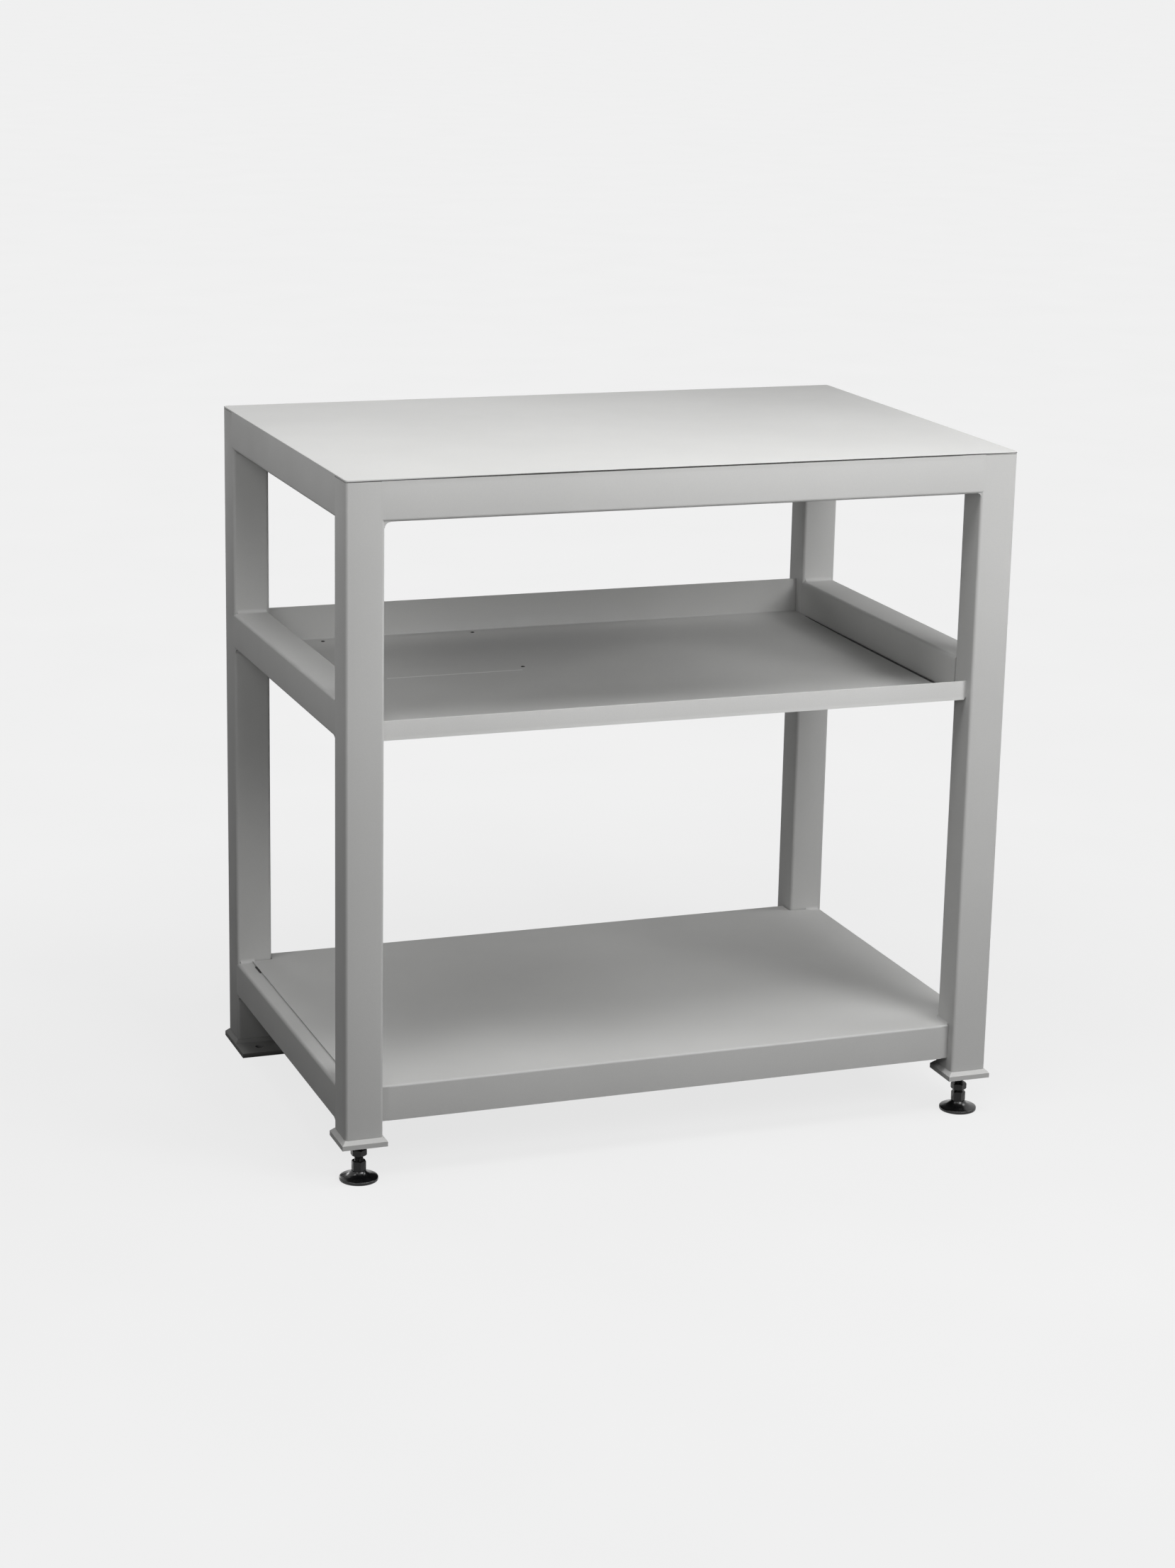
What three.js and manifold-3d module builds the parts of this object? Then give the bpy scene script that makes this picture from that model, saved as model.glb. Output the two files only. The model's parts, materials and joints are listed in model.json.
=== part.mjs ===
// Open laboratory bench: a welded frame of square tube that carries a sheet worktop, a middle tray
// with raised edges and a lower deck. The front legs stand on screwed levelling feet and the rear
// legs on floor plates with an anchor hole.
// Millimetres, +Z up, floor at Z = 0, front towards -Y, origin on the floor under the middle.

import * as THREE from 'three';
import { mergeVertices } from 'three/addons/utils/BufferGeometryUtils.js';
import Module from 'manifold-3d';

const wasm = await Module();
wasm.setup();

// Overall size of the frame
const BENCH_WIDTH = 914.4;
const BENCH_DEPTH = 609.6;
const BENCH_HEIGHT = 923;

// Square tube of the legs and rails
const TUBE = 50.8;
const TUBE_WALL = 3;
const TUBE_RADIUS = 4.5;

// Heights of the rail tops above the floor
const MID_RAIL_TOP = 639.4;
const LOWER_RAIL_TOP = 127;

// Lower cross rails at the front and rear, flush with the inner faces of the legs
const CROSS_RAIL_DEPTH = 25.4;
const CROSS_RAIL_HEIGHT = 47;
const CROSS_RAIL_WALL = 2;
const CROSS_RAIL_RADIUS = 3;

// Worktop sheet
const TOP_THICKNESS = 3;
const TOP_CORNER_RADIUS = 4;
const TOP_EDGE_ROUND = 0.8;

// Inset of the front edges of the tray and the deck from the front faces of the legs
const SHEET_FRONT_INSET = 14;

// Middle tray, folded from one sheet
const TRAY_REAR_INSET = 26;
const TRAY_THICKNESS = 2;
const TRAY_BEND_RADIUS = 4;
const TRAY_LIP_HEIGHT = 25.4;
const TRAY_SIDE_GROOVE = 1.2;
const TRAY_HOLE = 4;
const TRAY_HOLE_SPACING = 222;
const TRAY_HOLES_FROM_LEFT = 79;
const TRAY_HOLES_FROM_REAR = 18;

// Lower deck sheet, with a flange folded down at the front and another behind the rear rail
const DECK_THICKNESS = 1.5;
const DECK_BEND_RADIUS = 3;
const DECK_FLANGE_DROP = 48;
const DECK_FLANGE_SHORT = 9;
const DECK_SIDE_INSET = 22;
const DECK_NOTCH_CLEARANCE = 1;
const DECK_NOTCH_RADIUS = 3;

// Stiffening channels under the worktop and the deck
const CHANNEL_WIDTH = 60;
const CHANNEL_DEPTH = 25;
const CHANNEL_THICKNESS = 2;

// Foot plates and rear floor plates
const PLATE_THICKNESS = 6.4;
const PLATE_BEVEL = 5;
const PLATE_OVERHANG = 5;
const REAR_TOE = 48;
const ANCHOR_HOLE = 12;

// Levelling feet under the front legs
const PAD_DIAMETER = 51;
const PAD_RIM = 4.5;
const PAD_NECK = 19;
const PAD_FLOOR = 2.2;
const PAD_ABOVE_BALL = 4;
const STUD_DIAMETER = 12;
const BALL_SHOULDER = 0.5;
const STUD_LENGTH = 72;
const STUD_TIP_CHAMFER = 1.5;
const STUD_EXPOSED = 27;
const COLLAR_FLATS = 17;
const COLLAR_HEIGHT = 13;
const NUT_FLATS = 19;
const NUT_HEIGHT = 8;
const NUT_LIFT_LEFT = 8;
const NUT_LIFT_RIGHT = 4;
const HEX_CHAMFER = 1;
const BUSH_DIAMETER = 30;
const BUSH_HEIGHT = 20;
const BUSH_CHAMFER = 1.5;

// Clearances: welded seats, running fit of the stud, clearance hole in the foot plate
const SEAT_GAP = 0.3;
const RUNNING_CLEARANCE = 0.3;
const PLATE_HOLE_CLEARANCE = 1;

// Facets on round corners and on turned pieces
const CORNER_SEGMENTS = 4;
const ROUND_SEGMENTS = 32;
const BALL_SEGMENTS = 8;

// Places that several pieces share
const halfWidth = BENCH_WIDTH / 2;
const halfDepth = BENCH_DEPTH / 2;
const legX = halfWidth - TUBE / 2;
const legY = halfDepth - TUBE / 2;
const frameTop = BENCH_HEIGHT - TOP_THICKNESS - SEAT_GAP;
const widthBetweenLegs = BENCH_WIDTH - 2 * TUBE;
const depthBetweenLegs = BENCH_DEPTH - 2 * TUBE;
const ballRadius = STUD_DIAMETER / 2 + BALL_SHOULDER;
const ballCentre = PAD_FLOOR + RUNNING_CLEARANCE + ballRadius;
const padHeight = ballCentre + PAD_ABOVE_BALL;
const collarBottom = padHeight + SEAT_GAP;
const collarTop = collarBottom + COLLAR_HEIGHT;
const footHeight = collarTop + STUD_EXPOSED;
const plateHeight = PLATE_THICKNESS + PLATE_BEVEL;
const trayBottom = MID_RAIL_TOP - TUBE;
const sheetFront = -halfDepth + SHEET_FRONT_INSET;
const trayRear = halfDepth - TRAY_REAR_INSET;
const deckBottom = LOWER_RAIL_TOP + SEAT_GAP;
const crossRailY = halfDepth - TUBE + CROSS_RAIL_DEPTH / 2;
const deckRear = crossRailY + CROSS_RAIL_DEPTH / 2 + SEAT_GAP + DECK_THICKNESS;

const LEFT = -1;
const RIGHT = 1;
const FRONT = -1;
const REAR = 1;
const QUARTER_TURN = Math.PI / 2;

const powderCoat = new THREE.MeshStandardMaterial({ color: 0xb7b8b6, roughness: 0.5, metalness: 0 });
const blackPlastic = new THREE.MeshStandardMaterial({ color: 0x121314, roughness: 0.3, metalness: 0 });
const blackSteel = new THREE.MeshStandardMaterial({ color: 0x1b1c1d, roughness: 0.4, metalness: 0.6 });

// Solids for cutting and joining

function solidOf(geometry) {
  const bare = geometry.clone();
  bare.deleteAttribute('normal');
  bare.deleteAttribute('uv');
  const merged = mergeVertices(bare);
  return new wasm.Manifold(new wasm.Mesh({
    numProp: 3,
    vertProperties: new Float32Array(merged.attributes.position.array),
    triVerts: new Uint32Array(merged.index.array),
  }));
}

function geometryOf(solid) {
  const { vertProperties, triVerts } = solid.getMesh();
  const geometry = new THREE.BufferGeometry();
  geometry.setAttribute('position', new THREE.BufferAttribute(vertProperties, 3));
  geometry.setIndex(new THREE.BufferAttribute(triVerts, 1));
  geometry.computeVertexNormals();
  return geometry;
}

function cut(geometry, ...tools) {
  const result = tools.reduce((solid, tool) => solid.subtract(solidOf(tool)), solidOf(geometry));
  return geometryOf(result);
}

function join(geometry, ...others) {
  const result = others.reduce((solid, other) => solid.add(solidOf(other)), solidOf(geometry));
  return geometryOf(result);
}

// Profiles and simple forms

function roundedRectangle(width, depth, radius) {
  const x = width / 2 - radius;
  const y = depth / 2 - radius;
  const shape = new THREE.Shape();
  shape.absarc(x, y, radius, 0, QUARTER_TURN);
  shape.absarc(-x, y, radius, QUARTER_TURN, 2 * QUARTER_TURN);
  shape.absarc(-x, -y, radius, 2 * QUARTER_TURN, 3 * QUARTER_TURN);
  shape.absarc(x, -y, radius, 3 * QUARTER_TURN, 4 * QUARTER_TURN);
  shape.closePath();
  return shape;
}

function tubeSection(width, height, wall, radius) {
  const section = roundedRectangle(width, height, radius);
  const innerRadius = Math.max(radius - wall, wall / 10);
  section.holes.push(roundedRectangle(width - 2 * wall, height - 2 * wall, innerRadius));
  return section;
}

function extrudeUp(shape, height) {
  return new THREE.ExtrudeGeometry(shape, {
    depth: height,
    bevelEnabled: false,
    curveSegments: CORNER_SEGMENTS,
  });
}

// The shape's x and y become Y and Z, and the bar runs along X about its own middle
function extrudeAlongX(shape, length) {
  const alongX = new THREE.Matrix4().makeBasis(
    new THREE.Vector3(0, 1, 0),
    new THREE.Vector3(0, 0, 1),
    new THREE.Vector3(1, 0, 0),
  );
  return extrudeUp(shape, length).translate(0, 0, -length / 2).applyMatrix4(alongX);
}

// A turned form about Z, from pairs of radius and height
function turned(profile, segments = ROUND_SEGMENTS) {
  const points = profile.map(([radius, height]) => new THREE.Vector2(radius, height));
  return new THREE.LatheGeometry(points, segments).rotateX(QUARTER_TURN);
}

function roundBar(diameter, bottom, top) {
  const radius = diameter / 2;
  return turned([[0, bottom], [radius, bottom], [radius, top], [0, top]]);
}

// A hexagon bar with chamfered corners at both ends, standing on Z = 0
function hexagonBar(flats, height) {
  const corner = flats / Math.sqrt(3);
  const prism = new THREE.CylinderGeometry(corner, corner, height, 6);
  prism.rotateX(QUARTER_TURN).translate(0, 0, height / 2);
  const envelope = turned([
    [0, 0],
    [corner - HEX_CHAMFER, 0],
    [corner, HEX_CHAMFER],
    [corner, height - HEX_CHAMFER],
    [corner - HEX_CHAMFER, height],
    [0, height],
  ]);
  return geometryOf(solidOf(prism).intersect(solidOf(envelope)));
}

// Tubes of the frame

function legTube(bottom) {
  const section = tubeSection(TUBE, TUBE, TUBE_WALL, TUBE_RADIUS);
  return extrudeUp(section, frameTop - bottom);
}

// Plan of what a rail end is cut back from: the leg, with the corners of its inner side left square
function copingPlan() {
  const half = TUBE / 2 + SEAT_GAP;
  const radius = TUBE_RADIUS + SEAT_GAP;
  const arc = half - radius;
  const plan = new THREE.Shape();
  plan.moveTo(-half, half);
  plan.lineTo(-half, -arc);
  plan.absarc(-arc, -arc, radius, 2 * QUARTER_TURN, 3 * QUARTER_TURN);
  plan.absarc(arc, -arc, radius, 3 * QUARTER_TURN, 4 * QUARTER_TURN);
  plan.lineTo(half, half);
  plan.closePath();
  return plan;
}

// A rail flush with the legs: on its outer side, -Y here, it laps the rounded corners of the legs
function flushRail(span) {
  const section = tubeSection(TUBE, TUBE, TUBE_WALL, TUBE_RADIUS);
  const rail = extrudeAlongX(section, span + 2 * TUBE_RADIUS);
  const copings = [LEFT, RIGHT].map((end) => (
    extrudeUp(copingPlan(), 2 * TUBE).translate(end * (span + TUBE) / 2, 0, -TUBE)
  ));
  return cut(rail, ...copings);
}

function crossRail() {
  const section = tubeSection(CROSS_RAIL_DEPTH, CROSS_RAIL_HEIGHT, CROSS_RAIL_WALL, CROSS_RAIL_RADIUS);
  return extrudeAlongX(section, widthBetweenLegs - 2 * SEAT_GAP);
}

// A channel that stiffens a sheet: its web lies against the sheet at Z = 0 and its flanges hang down
function stiffener(length) {
  const section = new THREE.Shape();
  const outer = CHANNEL_WIDTH / 2;
  const inner = outer - CHANNEL_THICKNESS;
  section.moveTo(-outer, 0);
  section.lineTo(-outer, -CHANNEL_DEPTH);
  section.lineTo(-inner, -CHANNEL_DEPTH);
  section.lineTo(-inner, -CHANNEL_THICKNESS);
  section.lineTo(inner, -CHANNEL_THICKNESS);
  section.lineTo(inner, -CHANNEL_DEPTH);
  section.lineTo(outer, -CHANNEL_DEPTH);
  section.lineTo(outer, 0);
  section.closePath();
  return extrudeAlongX(section, length);
}

// Sheets

function worktop() {
  const outline = roundedRectangle(BENCH_WIDTH, BENCH_DEPTH, TOP_CORNER_RADIUS);
  const sheet = new THREE.ExtrudeGeometry(outline, {
    depth: TOP_THICKNESS - 2 * TOP_EDGE_ROUND,
    bevelThickness: TOP_EDGE_ROUND,
    bevelSize: TOP_EDGE_ROUND,
    bevelOffset: -TOP_EDGE_ROUND,
    bevelSegments: 2,
    curveSegments: CORNER_SEGMENTS,
  });
  return sheet.translate(0, 0, TOP_EDGE_ROUND);
}

// Section of the tray from front to rear, from the underside of its floor up: lip, floor, upstand
function traySection() {
  const outer = TRAY_BEND_RADIUS;
  const inner = outer - TRAY_THICKNESS;
  const frontBend = sheetFront + outer;
  const rearBend = trayRear - outer;
  const section = new THREE.Shape();
  section.moveTo(sheetFront, TRAY_LIP_HEIGHT);
  section.lineTo(sheetFront, outer);
  section.absarc(frontBend, outer, outer, 2 * QUARTER_TURN, 3 * QUARTER_TURN);
  section.absarc(rearBend, outer, outer, 3 * QUARTER_TURN, 4 * QUARTER_TURN);
  section.lineTo(trayRear, TUBE);
  section.lineTo(trayRear - TRAY_THICKNESS, TUBE);
  section.absarc(rearBend, outer, inner, 4 * QUARTER_TURN, 3 * QUARTER_TURN, true);
  section.absarc(frontBend, outer, inner, 3 * QUARTER_TURN, 2 * QUARTER_TURN, true);
  section.lineTo(sheetFront + TRAY_THICKNESS, TRAY_LIP_HEIGHT);
  section.closePath();
  return section;
}

// The tray fills the width between the legs, stands clear of the side rails and has four small holes
function tray() {
  const sheet = extrudeAlongX(traySection(), widthBetweenLegs - 2 * SEAT_GAP);
  const groove = new THREE.BoxGeometry(2 * TRAY_SIDE_GROOVE, depthBetweenLegs, 2 * TUBE);
  const grooves = [LEFT, RIGHT].map((side) => (
    groove.clone().translate(side * widthBetweenLegs / 2, 0, 0)
  ));
  const holes = [0, TRAY_HOLE_SPACING].flatMap((across) => [0, TRAY_HOLE_SPACING].map((along) => {
    const x = -widthBetweenLegs / 2 + TRAY_HOLES_FROM_LEFT + across;
    const y = trayRear - TRAY_HOLES_FROM_REAR - along;
    return roundBar(TRAY_HOLE, -TRAY_THICKNESS, 2 * TRAY_THICKNESS).translate(x, y, 0);
  }));
  return cut(sheet, ...grooves, ...holes);
}

// Section of the deck from front to rear, from its underside up: flange, sheet, flange
function deckSection() {
  const outer = DECK_BEND_RADIUS;
  const inner = outer - DECK_THICKNESS;
  const bendZ = DECK_THICKNESS - outer;
  const bottom = DECK_THICKNESS - DECK_FLANGE_DROP;
  const frontBend = sheetFront + outer;
  const rearBend = deckRear - outer;
  const section = new THREE.Shape();
  section.moveTo(deckRear, bottom);
  section.lineTo(deckRear, bendZ);
  section.absarc(rearBend, bendZ, outer, 0, QUARTER_TURN);
  section.absarc(frontBend, bendZ, outer, QUARTER_TURN, 2 * QUARTER_TURN);
  section.lineTo(sheetFront, bottom);
  section.lineTo(sheetFront + DECK_THICKNESS, bottom);
  section.absarc(frontBend, bendZ, inner, 2 * QUARTER_TURN, QUARTER_TURN, true);
  section.absarc(rearBend, bendZ, inner, QUARTER_TURN, 0, true);
  section.lineTo(deckRear - DECK_THICKNESS, bottom);
  section.closePath();
  return section;
}

// The deck reaches over the side rails, is notched round the legs and has flanges that stop short of them
function deck() {
  const side = halfWidth - DECK_SIDE_INSET;
  const notchX = widthBetweenLegs / 2 - DECK_NOTCH_CLEARANCE;
  const notchY = depthBetweenLegs / 2 - DECK_NOTCH_CLEARANCE;
  const sheet = extrudeAlongX(deckSection(), 2 * side);
  const cutouts = [LEFT, RIGHT].flatMap((across) => [FRONT, REAR].flatMap((along) => {
    const notch = extrudeUp(roundedRectangle(2 * TUBE, 2 * TUBE, DECK_NOTCH_RADIUS), 2 * DECK_FLANGE_DROP);
    notch.translate(across * (notchX + TUBE), along * (notchY + TUBE), -DECK_FLANGE_DROP);
    const flangeEnd = new THREE.BoxGeometry(2 * DECK_FLANGE_SHORT, 2 * TUBE, DECK_FLANGE_DROP);
    flangeEnd.translate(across * notchX, along * (notchY + TUBE), -DECK_FLANGE_DROP / 2);
    return [notch, flangeEnd];
  }));
  return cut(sheet, ...cutouts);
}

// Plates under the legs

// Square plate whose upper edge slopes up to the leg, as a four-sided turned form
function bevelledPlate() {
  const diagonal = Math.SQRT2 * (TUBE / 2 + PLATE_OVERHANG);
  const topDiagonal = Math.SQRT2 * (TUBE / 2);
  const plate = turned([
    [0, 0],
    [diagonal, 0],
    [diagonal, PLATE_THICKNESS],
    [topDiagonal, plateHeight],
    [0, plateHeight],
  ], 4);
  return plate.rotateZ(QUARTER_TURN / 2);
}

function footPlate() {
  const hole = STUD_DIAMETER + 2 * PLATE_HOLE_CLEARANCE;
  return cut(bevelledPlate(), roundBar(hole, -plateHeight, 2 * plateHeight));
}

// The rear plate runs forward as a toe with an anchor hole in its middle
function floorPlate() {
  const width = TUBE + 2 * PLATE_OVERHANG;
  const front = -TUBE / 2 - REAR_TOE;
  const rear = TUBE / 2 + PLATE_OVERHANG;
  const slab = new THREE.BoxGeometry(width, rear - front, PLATE_THICKNESS);
  slab.translate(0, (front + rear) / 2, PLATE_THICKNESS / 2);
  const hole = roundBar(ANCHOR_HOLE, -PLATE_THICKNESS, 2 * PLATE_THICKNESS);
  hole.translate(0, front + REAR_TOE / 2, 0);
  return cut(join(slab, bevelledPlate()), hole);
}

// Levelling feet

// Ring that the stud screws into, standing on the foot plate inside the leg
function levellingBush() {
  const bore = STUD_DIAMETER / 2 + RUNNING_CLEARANCE;
  const outer = BUSH_DIAMETER / 2;
  return turned([
    [bore, 0],
    [outer, 0],
    [outer, BUSH_HEIGHT - BUSH_CHAMFER],
    [outer - BUSH_CHAMFER, BUSH_HEIGHT],
    [bore, BUSH_HEIGHT],
    [bore, 0],
  ]);
}

// Arc about the centre of the ball, in pairs of radius and height, between two angles of elevation
function ballProfile(radius, from, to) {
  const arc = new THREE.EllipseCurve(0, ballCentre, radius, radius, from, to, to < from);
  return arc.getPoints(BALL_SEGMENTS).map((point) => [Math.abs(point.x), point.y]);
}

// Bell-shaped pad with a spherical socket for the ball of the stud
function footPad() {
  const radius = PAD_DIAMETER / 2;
  const neck = PAD_NECK / 2;
  const socketRadius = ballRadius + RUNNING_CLEARANCE;
  const mouth = STUD_DIAMETER / 2 + RUNNING_CLEARANCE;
  const mouthAngle = Math.acos(mouth / socketRadius);
  const bell = new THREE.CubicBezierCurve(
    new THREE.Vector2(radius, PAD_RIM),
    new THREE.Vector2(radius - PAD_RIM, PAD_RIM + PAD_RIM / 2),
    new THREE.Vector2(neck + PAD_RIM, PAD_RIM + PAD_RIM / 2),
    new THREE.Vector2(neck, padHeight),
  );
  return turned([
    [0, 0],
    [radius - PAD_RIM / 4, 0],
    [radius, PAD_RIM / 4],
    ...bell.getPoints(BALL_SEGMENTS).map((point) => [point.x, point.y]),
    [mouth, padHeight],
    ...ballProfile(socketRadius, mouthAngle, -QUARTER_TURN),
  ]);
}

// Stud with ball end, neck, hexagon collar and plain rod, in its place above the floor
function footStud() {
  const rod = STUD_DIAMETER / 2;
  const tip = collarTop + STUD_LENGTH;
  const neckAngle = Math.acos(rod / ballRadius);
  const shaft = turned([
    ...ballProfile(ballRadius, -QUARTER_TURN, neckAngle),
    [rod, tip - STUD_TIP_CHAMFER],
    [rod - STUD_TIP_CHAMFER, tip],
    [0, tip],
  ]);
  return join(shaft, hexagonBar(COLLAR_FLATS, COLLAR_HEIGHT).translate(0, 0, collarBottom));
}

function jamNut() {
  const bore = STUD_DIAMETER + 2 * RUNNING_CLEARANCE;
  return cut(hexagonBar(NUT_FLATS, NUT_HEIGHT), roundBar(bore, -NUT_HEIGHT, 2 * NUT_HEIGHT));
}

// Assembly

const bench = new THREE.Group();

function place(parent, name, geometry, material, x, y, z, turn = 0) {
  const mesh = new THREE.Mesh(geometry, material);
  mesh.name = name;
  mesh.position.set(x, y, z);
  mesh.rotation.z = turn;
  parent.add(mesh);
}

function addFrame(parent) {
  const frontLegBottom = footHeight + plateHeight + SEAT_GAP;
  const rearLegBottom = plateHeight + SEAT_GAP;
  for (const [side, x] of [['left', -legX], ['right', legX]]) {
    place(parent, `leg_front_${side}`, legTube(frontLegBottom), powderCoat, x, -legY, frontLegBottom);
    place(parent, `leg_rear_${side}`, legTube(rearLegBottom), powderCoat, x, legY, rearLegBottom);
    place(parent, `foot_plate_${side}`, footPlate(), powderCoat, x, -legY, footHeight);
    place(parent, `floor_plate_${side}`, floorPlate(), powderCoat, x, legY, 0);
  }
  const topZ = frameTop - TUBE / 2;
  place(parent, 'top_rail_front', flushRail(widthBetweenLegs), powderCoat, 0, -legY, topZ);
  place(parent, 'top_rail_rear', flushRail(widthBetweenLegs), powderCoat, 0, legY, topZ, Math.PI);
  const sideRailTops = [['top', frameTop], ['mid', MID_RAIL_TOP], ['lower', LOWER_RAIL_TOP]];
  for (const [level, railTop] of sideRailTops) {
    for (const [side, direction] of [['left', LEFT], ['right', RIGHT]]) {
      const rail = flushRail(depthBetweenLegs);
      const railZ = railTop - TUBE / 2;
      const turn = direction * QUARTER_TURN;
      place(parent, `${level}_rail_${side}`, rail, powderCoat, direction * legX, 0, railZ, turn);
    }
  }
  const crossZ = LOWER_RAIL_TOP - CROSS_RAIL_HEIGHT / 2;
  place(parent, 'lower_rail_front', crossRail(), powderCoat, 0, -crossRailY, crossZ);
  place(parent, 'lower_rail_rear', crossRail(), powderCoat, 0, crossRailY, crossZ);
}

function addSheets(parent) {
  const topStiffener = stiffener(depthBetweenLegs - 2 * SEAT_GAP);
  const deckStiffener = stiffener(2 * crossRailY - CROSS_RAIL_DEPTH - 2 * SEAT_GAP);
  place(parent, 'worktop', worktop(), powderCoat, 0, 0, BENCH_HEIGHT - TOP_THICKNESS);
  place(parent, 'worktop_stiffener', topStiffener, powderCoat, 0, 0, frameTop, QUARTER_TURN);
  place(parent, 'tray', tray(), powderCoat, 0, 0, trayBottom);
  place(parent, 'deck', deck(), powderCoat, 0, 0, deckBottom);
  place(parent, 'deck_stiffener', deckStiffener, powderCoat, 0, 0, LOWER_RAIL_TOP, QUARTER_TURN);
}

function addLevellingFoot(parent, side, x, nutLift) {
  const bushBottom = footHeight + plateHeight + SEAT_GAP;
  place(parent, `levelling_bush_${side}`, levellingBush(), blackSteel, x, -legY, bushBottom);
  place(parent, `foot_pad_${side}`, footPad(), blackPlastic, x, -legY, 0);
  place(parent, `foot_stud_${side}`, footStud(), blackSteel, x, -legY, 0);
  place(parent, `jam_nut_${side}`, jamNut(), blackSteel, x, -legY, collarTop + nutLift);
}

addFrame(bench);
addSheets(bench);
addLevellingFoot(bench, 'left', -legX, NUT_LIFT_LEFT);
addLevellingFoot(bench, 'right', legX, NUT_LIFT_RIGHT);

export default bench;
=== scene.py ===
"""Looks of an open laboratory bench: grey powder coat, painted welds, black levelling feet, pale studio."""

import json
import math

import bmesh
import bpy
from mathutils import Matrix, Vector

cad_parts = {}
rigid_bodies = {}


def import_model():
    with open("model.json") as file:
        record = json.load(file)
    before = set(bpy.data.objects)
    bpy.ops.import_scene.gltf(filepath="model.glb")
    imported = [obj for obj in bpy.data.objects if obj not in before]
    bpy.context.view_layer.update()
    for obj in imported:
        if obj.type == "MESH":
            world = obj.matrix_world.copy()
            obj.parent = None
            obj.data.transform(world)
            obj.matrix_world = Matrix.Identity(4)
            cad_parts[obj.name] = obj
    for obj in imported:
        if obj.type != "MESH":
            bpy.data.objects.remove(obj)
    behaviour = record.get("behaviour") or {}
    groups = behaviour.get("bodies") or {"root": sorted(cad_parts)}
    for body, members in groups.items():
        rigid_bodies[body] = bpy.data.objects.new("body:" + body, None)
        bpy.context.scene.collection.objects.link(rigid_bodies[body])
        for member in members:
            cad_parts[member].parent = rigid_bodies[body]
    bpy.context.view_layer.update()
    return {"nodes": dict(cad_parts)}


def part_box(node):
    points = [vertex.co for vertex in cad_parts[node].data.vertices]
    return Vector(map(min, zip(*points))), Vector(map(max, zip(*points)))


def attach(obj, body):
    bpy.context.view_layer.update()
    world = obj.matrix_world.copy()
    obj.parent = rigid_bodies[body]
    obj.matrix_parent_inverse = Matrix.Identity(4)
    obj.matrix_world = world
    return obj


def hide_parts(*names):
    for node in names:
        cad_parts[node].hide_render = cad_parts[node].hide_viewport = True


for leftover in list(bpy.data.objects):
    bpy.data.objects.remove(leftover)
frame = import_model()
nodes = frame["nodes"]

MM = 0.001
X = Vector((1, 0, 0))
Y = Vector((0, 1, 0))
Z = Vector((0, 0, 1))
SIDES = {"left": -1, "right": 1}
FRAME_BODY = "bench_frame"

# Colours, linear
PAPER = (0.871, 0.871, 0.871, 1)
COAT = (0.56, 0.56, 0.552, 1)
COAT_WORN = (0.74, 0.74, 0.73, 1)
# A darker coat for the floor plates
PLATE_COAT_DARK = (0.22, 0.22, 0.215, 1)
# Black for the painted shadow strips and the tray's dark plugs
SHADOW_AND_PLUG_BLACK = (0.012, 0.0115, 0.01, 1)
PAD_BLACK = (0.006, 0.006, 0.0065, 1)
STEEL_BLACK = (0.012, 0.012, 0.0125, 1)

# Noise: the part of its own range that is spread over a range of tones, and the detail of fine grain
NOISE_RANGE = (0.3, 0.7)
FINE_DETAIL = 2.0

# Powder coat: shine, clouding, orange peel and the painted shade in creases
# Clouds and specks are scale, detail, lowest tone and highest tone
COAT_ROUGHNESS = 0.66
WELD_ROUGHNESS = 0.6
COAT_SPECULAR = 0.04
COAT_SHINE_SCALE = 30.0
COAT_SHINE_SWING = 0.04
COAT_CLOUDS = (4.0, 3.0, 0.965, 1.02)
COAT_SPECKS = (900.0, 1.0, 0.985, 1.015)
COAT_PEEL = 0.10
WELD_PEEL = 0.04
PEEL_SCALE = 700.0
PEEL_DEPTH = 0.2 * MM
CREASE_REACH = 6 * MM
CREASE_SAMPLES = 8
CREASE_SHADE_RANGE = (0.2, 0.8)
CREASE_PAINTED_SHADE = 0.85

# Black plastic and black steel: uneven tone, uneven shine as shares of the roughness, fine grain
BLACK_CLOUDS = (60.0, 3.0, 0.8, 1.25)
BLACK_SHINE_SCALE = 140.0
BLACK_SHINE_LOW = 0.8
BLACK_SHINE_HIGH = 1.25
BLACK_GRAIN_SCALE = 500.0

# Painted light and shade on the coat: a painted highlight on the tray's front lip, painted shade low on the
# rear legs and at the floor plates' lower edges; the tone, and how far it reaches before it fades out
LIP_PAINTED_HIGHLIGHT = 1.22
LIP_HIGHLIGHT_REACH = 4 * MM
LEG_FOOT_PAINTED_SHADE = 0.6
LEG_FOOT_SHADE_REACH = 120 * MM
PLATE_EDGE_PAINTED_SHADE = 0.35
PLATE_EDGE_SHADE_REACH = 8 * MM

# Studio: what the floor throws back, how strong its shadow is and where it fades, light from all round
FLOOR_GRAIN = (3.0, 2.0, 0.995, 1.005)
FLOOR_BOUNCE = (0.07, 0.07, 0.07, 1)
FLOOR_SHADOW = 0.12
SHADOW_NEAR = 0.5
SHADOW_FAR = 1.6
FLOOR_HALF_SIZE = 150
FLOOR_DROP = 0.2 * MM
AMBIENT = 0.03
WHITE = (1, 1, 1, 1)

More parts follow.
